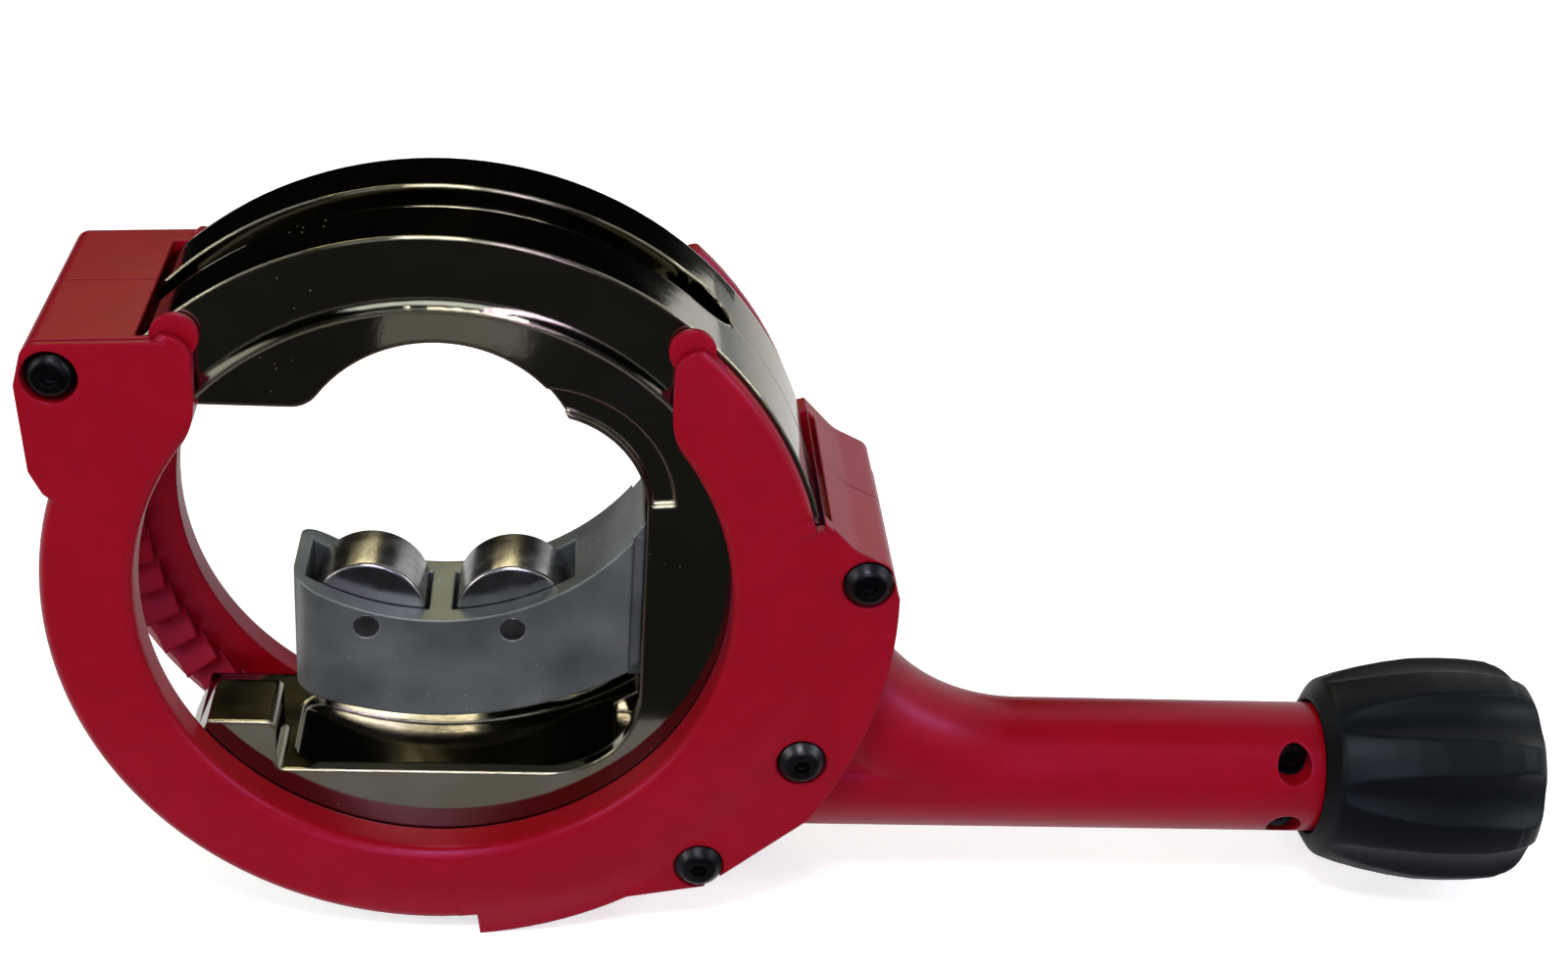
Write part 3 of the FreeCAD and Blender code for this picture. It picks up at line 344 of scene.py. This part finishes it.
def bumped(tree, shader, height, strength, distance, edge):
    """Feeds the shader a bump, and a look of sharp edges rounded to the radius edge."""
    bump = add(tree, "ShaderNodeBump", Strength=strength, Distance=distance)
    tree.links.new(height, bump.inputs["Height"])
    corner = add(tree, "ShaderNodeBevel", samples=6, Radius=edge)
    tree.links.new(corner.outputs["Normal"], bump.inputs["Normal"])
    tree.links.new(bump.outputs["Normal"], shader.inputs["Normal"])


# Finishes

def crimson_moulding():
    """Satin crimson plastic with a violet sheen and a fine spark-eroded grain."""
    made, tree, shader = finish_material(
        "crimson_moulding", specular_ior_level=0.26, specular_tint=(0.90, 0.30, 0.90, 1.0),
        sheen_weight=0.02, sheen_roughness=0.35, sheen_tint=(0.75, 0.22, 0.90, 1.0))
    skin = effect(tree, grain, Scale=1500.0, Contrast=1.8)
    marks = effect(tree, smudges, Scale=14.0, Low=0.30, High=0.75)
    deep, clear, pits = (0.195, 0.0010, 0.0034), (0.222, 0.0013, 0.0044), (0.177, 0.0009, 0.0031)
    tone = mix_colour(tree, marks.outputs["Mask"], deep, clear)
    tone = mix_colour(tree, skin.outputs["Mask"], pits, tone)
    tree.links.new(tone, shader.inputs["Base Color"])
    tree.links.new(span(tree, marks.outputs["Mask"], 0.30, 0.36), shader.inputs["Roughness"])
    bumped(tree, shader, skin.outputs["Height"], strength=0.18, distance=0.08 * MM, edge=0.8 * MM)
    return made


def black_moulding():
    """Satin black plastic of the knob, faintly blue where it shines."""
    made, tree, shader = finish_material(
        "black_moulding", specular_ior_level=0.11, specular_tint=(0.72, 0.88, 1.0, 1.0))
    skin = effect(tree, grain, Scale=1300.0, Contrast=2.0)
    marks = effect(tree, smudges, Scale=20.0, Low=0.35, High=0.75)
    deep, clear = (0.0020, 0.0024, 0.0030), (0.0034, 0.0042, 0.0052)
    tone = mix_colour(tree, marks.outputs["Mask"], deep, clear)
    tree.links.new(tone, shader.inputs["Base Color"])
    tree.links.new(span(tree, marks.outputs["Mask"], 0.40, 0.46), shader.inputs["Roughness"])
    bumped(tree, shader, skin.outputs["Height"], strength=0.15, distance=0.08 * MM, edge=0.4 * MM)
    return made


def dark_plating():
    """Dark bright plating over a cast and polished head, with a soft ripple and dust."""
    made, tree, shader = finish_material("dark_plating", metallic=1.0)
    ripple = effect(tree, grain, Scale=160.0, Contrast=1.6)
    marks = effect(tree, smudges, Scale=22.0, Low=0.35, High=0.75)
    dust = effect(tree, specks, Scale=620.0, Size=0.11, Amount=0.36)
    warm, clear, dusty = (0.230, 0.212, 0.150), (0.290, 0.278, 0.230), (0.42, 0.40, 0.34)
    tone = mix_colour(tree, marks.outputs["Mask"], warm, clear)
    tone = mix_colour(tree, dust.outputs["Mask"], tone, dusty)
    tree.links.new(tone, shader.inputs["Base Color"])
    rough = add(tree, "ShaderNodeMath", operation="MAXIMUM")
    tree.links.new(span(tree, marks.outputs["Mask"], 0.05, 0.10), rough.inputs[0])
    tree.links.new(span(tree, dust.outputs["Mask"], 0.0, 0.40), rough.inputs[1])
    tree.links.new(rough.outputs[0], shader.inputs["Roughness"])
    bumped(tree, shader, ripple.outputs["Height"], strength=0.04, distance=0.4 * MM, edge=1.0 * MM)
    return made


def cast_zinc():
    """Bare blue-grey casting of the jaw, speckled and softly worn."""
    made, tree, shader = finish_material("cast_zinc", metallic=0.85)
    skin = effect(tree, grain, Scale=620.0, Contrast=2.0)
    dust = effect(tree, specks, Scale=900.0, Size=0.18, Amount=0.42)
    deep, clear, dusty = (0.115, 0.135, 0.135), (0.215, 0.240, 0.235), (0.32, 0.35, 0.37)
    tone = mix_colour(tree, skin.outputs["Mask"], deep, clear)
    tone = mix_colour(tree, dust.outputs["Mask"], tone, dusty)
    tree.links.new(tone, shader.inputs["Base Color"])
    tree.links.new(span(tree, skin.outputs["Mask"], 0.36, 0.50), shader.inputs["Roughness"])
    bumped(tree, shader, skin.outputs["Height"], strength=0.30, distance=0.2 * MM, edge=0.8 * MM)
    return made


def bright_steel(name, tone_low, tone_high, rough_low, rough_high, scale):
    """Ground or drawn metal between two tones, with fine changes of roughness."""
    made, tree, shader = finish_material(name, metallic=1.0)
    skin = effect(tree, grain, Scale=scale, Contrast=2.4)
    marks = effect(tree, smudges, Scale=60.0, Low=0.35, High=0.7)
    tone = mix_colour(tree, marks.outputs["Mask"], tone_low, tone_high)
    tree.links.new(tone, shader.inputs["Base Color"])
    roughness = span(tree, skin.outputs["Mask"], rough_low, rough_high)
    tree.links.new(roughness, shader.inputs["Roughness"])
    bumped(tree, shader, skin.outputs["Height"], strength=0.12, distance=0.08 * MM, edge=0.2 * MM)
    return made


def blackened_steel():
    """Black oxide on the screws, with a slight oily shine."""
    return bright_steel("blackened_steel", (0.010, 0.010, 0.012), (0.028, 0.028, 0.032),
                        0.28, 0.42, 1800.0)


finishes = {
    "red_shell": crimson_moulding(),
    "black_plastic": black_moulding(),
    "black_screws": blackened_steel(),
    "dark_chrome": dark_plating(),
    "cast_jaw": cast_zinc(),
    "ground_steel": bright_steel("ground_steel", (0.22, 0.22, 0.23), (0.34, 0.34, 0.35),
                                 0.18, 0.30, 1400.0),
    "spring_steel": bright_steel("spring_steel", (0.30, 0.30, 0.31), (0.44, 0.44, 0.46),
                                 0.22, 0.36, 1600.0),
    "bearing_bronze": bright_steel("bearing_bronze", (0.36, 0.22, 0.09), (0.50, 0.33, 0.15),
                                   0.30, 0.45, 1500.0),
}
slot_of = {entry["node"]: entry["material_slot"] for entry in frame["record"]["subparts"]}
bodies = frame["record"]["behaviour"]["bodies"]
body_of = {node: body for body, members in bodies.items() for node in members}


def dress(piece, node):
    """Gives a new piece its finish and its body, and hides the node that it stands for."""
    slot = slot_of[node]
    piece.data.materials.clear()
    piece.data.materials.append(finishes[slot])
    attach(piece, body_of[node])
    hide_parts(node)


def paint(node):
    """Gives a model node that stays in view its finish."""
    holder = nodes[node]
    holder.data.materials.clear()
    holder.data.materials.append(finishes[slot_of[node]])


# Knob

def knob_surface():
    """Fluted knob. The radius is a smooth profile cut by eight round troughs. A trough's bottom
    is highest at the crown and falls along a long arc towards the grip and a short one towards
    the end. The radius is the lesser of profile and trough, blended over a small rounding.
    The straight wall of the bore has no rows between its ends."""
    length = knob_high.x - knob_low.x
    rows = np.array(KNOB_ROWS) * (1, MM)
    along = np.concatenate([[0], np.cumsum(np.hypot(*np.diff(rows * (length, 1), axis=0).T))])
    fine = np.unique(np.concatenate([np.linspace(0, along[-1], KNOB_SAMPLES), along]))
    x = np.interp(fine, along, rows[:, 0])
    radius = np.interp(fine, along, rows[:, 1])
    for _ in range(KNOB_SMOOTHING):
        x[1:-1] = (x[:-2] + 2 * x[1:-1] + x[2:]) / 4
        radius[1:-1] = (radius[:-2] + 2 * radius[1:-1] + radius[2:]) / 4
    start, stop = (along[row] for row in BORE_ROWS)
    wanted = (fine < start + BORE_MARGIN) | (fine > stop - BORE_MARGIN)
    fine, x, radius = fine[wanted], x[wanted], radius[wanted]
    angle = np.radians(np.arange(0, 360, KNOB_COLUMN_ANGLE))
    reach = (x - CROWN_SHARE) * length
    path = np.where(reach < 0, TROUGH_PATH_TO_GRIP, TROUGH_PATH_TO_END)
    bottom = CROWN_RADIUS - TROUGH_DEPTH - path + np.sqrt(path ** 2 - reach ** 2)
    sector = 2 * math.pi / TROUGH_COUNT
    off = (angle - math.radians(90.0 - TROUGH_PHASE) + sector / 2) % sector - sector / 2
    centre = (bottom + TROUGH_RADIUS)[:, None]
    inside = np.clip(TROUGH_RADIUS ** 2 - (centre * np.sin(off)[None, :]) ** 2, 0, None)
    trough = np.where(inside > 0, centre * np.cos(off)[None, :] - np.sqrt(inside), NO_TROUGH)
    outer = ((fine > along[FIRST_OUTER_ROW]) & (fine < along[LAST_OUTER_ROW]))[:, None]
    above = radius[:, None] - trough
    gap = np.clip(above + TROUGH_EDGE, 0, 2 * TROUGH_EDGE)
    cut = np.where(above > TROUGH_EDGE, above, gap * gap / (4 * TROUGH_EDGE))
    r = radius[:, None] - np.where(outer, cut, 0)
    place = np.broadcast_to(x[:, None] * length + knob_low.x, r.shape)
    points = np.stack([place, -r * np.cos(angle), r * np.sin(angle) + GRIP_AXIS_Z], axis=-1)
    faces = grid_faces(len(fine), len(angle), close_rows=True)
    return facing_out(mesh_object("knob_fluted", points.reshape(-1, 3), faces))


# Feed screw thread

def feed_screw_surface():
    """Threaded part of the feed screw: the radius falls by a triangle wave of height less turn,
    so that its crests climb one pitch in each turn, above a plain foot."""
    centre_x = (screw_low.x + screw_high.x) / 2
    low = screw_low.z + SCREW_FOOT_LENGTH
    high = retainer_low.z - SCREW_NECK_GAP
    angle = np.radians(np.arange(0, 360, SCREW_COLUMN_ANGLE))
    height = np.arange(low, high, SCREW_PITCH / STEPS_PER_PITCH)
    turn = height[:, None] / SCREW_PITCH - angle[None, :] / (2 * math.pi)
    wave = np.abs((turn % 1.0) * 2 - 1)
    ends = np.clip(np.minimum(height - low, high - height) / SCREW_PITCH, 0, 1)[:, None]
    r = SCREW_CREST - (SCREW_CREST - SCREW_ROOT) * wave * ends
    shoulder = low - SCREW_PITCH / 2
    foot = np.array([
        (SCREW_FOOT_RADIUS - SCREW_STEP / 2, screw_low.z),
        (SCREW_FOOT_RADIUS, screw_low.z + SCREW_STEP),
        (SCREW_FOOT_RADIUS, shoulder),
        (SCREW_CREST - SCREW_STEP / 2, shoulder + SCREW_STEP),
    ])
    radii = np.concatenate([np.repeat(foot[:, :1], len(angle), 1), r])
    levels = np.concatenate([foot[:, 1], height])
    points = np.stack([centre_x + radii * np.cos(angle), radii * np.sin(angle),
                       np.repeat(levels[:, None], len(angle), 1)], axis=-1)
    faces = grid_faces(len(levels), len(angle))
    piece = mesh_object("feed_screw_thread", points.reshape(-1, 3), faces)
    ends_mesh = bmesh.new()
    ends_mesh.from_mesh(piece.data)
    rims = [edge for edge in ends_mesh.edges if edge.is_boundary]
    bmesh.ops.holes_fill(ends_mesh, edges=rims, sides=0)
    ends_mesh.to_mesh(piece.data)
    ends_mesh.free()
    piece.data.set_sharp_from_angle(angle=math.radians(THREAD_CREASE_ANGLE))
    return facing_out(piece), high


def feed_screw_head(level):
    """The screw's head, socket and plain neck, kept from the model above the thread."""
    piece = machined("feed_screw", "feed_screw_head")
    neck = bmesh.new()
    neck.from_mesh(piece.data)
    bmesh.ops.bisect_plane(neck, geom=neck.verts[:] + neck.edges[:] + neck.faces[:],
                           plane_co=(0, 0, level), plane_no=(0, 0, 1), clear_inner=True)
    neck.to_mesh(piece.data)
    neck.free()
    return piece


dress(knob_surface(), "knob")
thread, neck_level = feed_screw_surface()
dress(thread, "feed_screw")
dress(feed_screw_head(neck_level), "feed_screw")
for plain in ("front_shell", "rear_shell", "head_casting", "jaw", "roller_left", "roller_right",
              "cutter_wheel", "wheel_pin", "roller_pins", "housing_screws", "handle_screws",
              "screw_retainer", "pawl_lower", "pawl_side", "spindle", "knob_cap", "end_bush"):
    dress(machined(plain, plain + "_finished"), plain)
for inner in ("root_bush", "return_spring", "spindle_collar", "collar_clips", "knob_screw",
              "pawl_spring_lower", "pawl_spring_side"):
    paint(inner)


# Studio

def camera():
    """The photograph's camera: place, turn and roll, with the lens from its focal length."""
    azimuth = math.radians(CAMERA_AZIMUTH)
    elevation = math.radians(CAMERA_ELEVATION)
    roll = math.radians(CAMERA_ROLL)
    level = math.cos(elevation)
    ahead = Vector((-math.sin(azimuth) * level, math.cos(azimuth) * level, -math.sin(elevation)))
    right = Vector((math.cos(azimuth), math.sin(azimuth), 0))
    up = right.cross(ahead)
    side = math.cos(roll) * right + math.sin(roll) * up
    top = -math.sin(roll) * right + math.cos(roll) * up
    lens = bpy.data.cameras.new("camera")
    lens.sensor_width = SENSOR_WIDTH
    lens.lens = FOCAL_PIXELS * SENSOR_WIDTH / PHOTO_WIDTH
    lens.clip_start = CLIP_START
    made = bpy.data.objects.new("camera", lens)
    turn = Matrix((side, top, -ahead)).transposed().to_4x4()
    made.matrix_world = Matrix.Translation(CAMERA_PLACE) @ turn
    bpy.context.scene.collection.objects.link(made)
    bpy.context.scene.camera = made


def lamp(name, place, target, width, height, watts, colour):
    """A soft rectangular lamp aimed at a point."""
    light = bpy.data.lights.new(name, "AREA")
    light.shape = "RECTANGLE"
    light.size = width
    light.size_y = height
    light.energy = watts
    light.color = colour
    made = bpy.data.objects.new(name, light)
    made.location = place
    made.rotation_euler = (Vector(target) - Vector(place)).to_track_quat("-Z", "Y").to_euler()
    bpy.context.scene.collection.objects.link(made)


def white_world():
    """White for the camera, for gloss and through glass, and a plain grey level for fill."""
    world = bpy.data.worlds.new("studio")
    bpy.context.scene.world = world
    world.use_nodes = True
    tree = world.node_tree
    tree.nodes.clear()
    path = add(tree, "ShaderNodeLightPath")
    seen = add(tree, "ShaderNodeMath", operation="MAXIMUM")
    shown = add(tree, "ShaderNodeMath", operation="MAXIMUM")
    fill = add(tree, "ShaderNodeBackground", Color=(0.93, 0.95, 1.0, 1.0), Strength=0.45)
    white = add(tree, "ShaderNodeBackground", Color=(1.0, 1.0, 1.0, 1.0), Strength=1.0)
    choice = add(tree, "ShaderNodeMixShader")
    out = add(tree, "ShaderNodeOutputWorld")
    tree.links.new(path.outputs["Is Camera Ray"], seen.inputs[0])
    tree.links.new(path.outputs["Is Glossy Ray"], seen.inputs[1])
    tree.links.new(seen.outputs[0], shown.inputs[0])
    tree.links.new(path.outputs["Is Transmission Ray"], shown.inputs[1])
    tree.links.new(shown.outputs[0], choice.inputs[0])
    tree.links.new(fill.outputs[0], choice.inputs[1])
    tree.links.new(white.outputs[0], choice.inputs[2])
    tree.links.new(choice.outputs[0], out.inputs["Surface"])


def pale_floor():
    """A wide pale floor that keeps the soft shadow and runs into the white world."""
    made = bpy.data.materials.new("pale_floor")
    made.use_nodes = True
    tree = made.node_tree
    tree.nodes.clear()
    path = add(tree, "ShaderNodeLightPath")
    paper = add(tree, "ShaderNodeBsdfDiffuse", Color=(0.86, 0.86, 0.86, 1.0))
    glow = add(tree, "ShaderNodeEmission", Color=(1.0, 1.0, 1.0, 1.0), Strength=0.55)
    both = add(tree, "ShaderNodeAddShader")
    choice = add(tree, "ShaderNodeMixShader")
    out = add(tree, "ShaderNodeOutputMaterial")
    tree.links.new(paper.outputs[0], both.inputs[0])
    tree.links.new(glow.outputs[0], both.inputs[1])
    tree.links.new(path.outputs["Is Camera Ray"], choice.inputs[0])
    tree.links.new(paper.outputs[0], choice.inputs[1])
    tree.links.new(both.outputs[0], choice.inputs[2])
    tree.links.new(choice.outputs[0], out.inputs["Surface"])
    points = [(x * FLOOR_HALF, y * FLOOR_HALF, FLOOR_Z) for x, y in SQUARE]
    floor = mesh_object("floor", points, [(0, 1, 2, 3)])
    floor.data.materials.append(made)


def dark_card(name, centre, target, width, height, grey=0.003):
    """A dark studio card that only gloss sees."""
    made = bpy.data.materials.new(name)
    made.use_nodes = True
    shader = made.node_tree.nodes["Principled BSDF"]
    shader.inputs["Base Color"].default_value = (grey, grey, grey, 1)
    shader.inputs["Specular IOR Level"].default_value = 0.0
    facing = (Vector(target) - Vector(centre)).normalized()
    upright = Vector((0, 0, 1)) if abs(facing.z) < 0.99 else Vector((0, 1, 0))
    side = facing.cross(upright).normalized()
    top = side.cross(facing)
    corners = [Vector(centre) + side * (a * width / 2) + top * (b * height / 2) for a, b in SQUARE]
    card = mesh_object(name, [list(c) for c in corners], [(0, 1, 2, 3)])
    card.data.materials.append(made)
    card.visible_camera = False
    card.visible_diffuse = False
    card.visible_shadow = False
    card.visible_transmission = False


camera()
white_world()
pale_floor()
lamp("key_above", (-0.06, -0.54, 0.77), MIDDLE, 0.22, 0.15, 4.5, (0.98, 0.94, 1.0))
lamp("front_strip", (0.04, -0.80, 0.46), ARCH_TOP, 0.34, 0.05, 1.3, (1.0, 0.97, 1.0))
lamp("front_soft", (-0.06, -0.86, 0.24), ARCH_TOP, 0.34, 0.20, 0.65, (0.80, 0.88, 1.0))
lamp("front_window", (0.095, -0.88, 0.22), ARCH_TOP, 0.07, 0.60, 1.15, (0.80, 0.64, 1.0))
lamp("side_left", (-0.9, -0.45, 0.45), MIDDLE, 0.20, 0.5, 3.2, (1.0, 0.95, 0.82))
lamp("side_right", (0.95, -0.30, 0.50), MIDDLE, 0.18, 0.5, 3.2, (0.92, 0.94, 1.0))
lamp("rear_top", (-0.20, 0.80, 0.64), ARCH_TOP, 0.5, 0.05, 1.5, (1.0, 0.86, 0.45))
dark_card("card_behind_camera", (0.02, -0.95, 0.30), (0, 0, 0), 1.3, 1.2)
dark_card("card_above", (0.0, -0.05, 1.35), (0, 0.01, 0), 1.6, 1.3)
dark_card("card_rear", (-0.20, 0.95, 0.42), (-0.20, 0, 0.42), 1.3, 0.98)
dark_card("card_low", (0.0, -0.48, FLOOR_Z + MM), (0.0, -0.48, 1.0), 1.6, 0.79, 0.02)
dark_card("card_near", (0.0, -0.058, FLOOR_Z + MM), (0.0, -0.058, 1.0), 1.6, 0.054, 0.35)
dark_card("card_pale", (-0.012, -0.30, FLOOR_Z + 2 * MM), (-0.012, -0.30, 1.0), 0.045, 0.04, 0.26)

bpy.context.scene.view_settings.view_transform = "Standard"
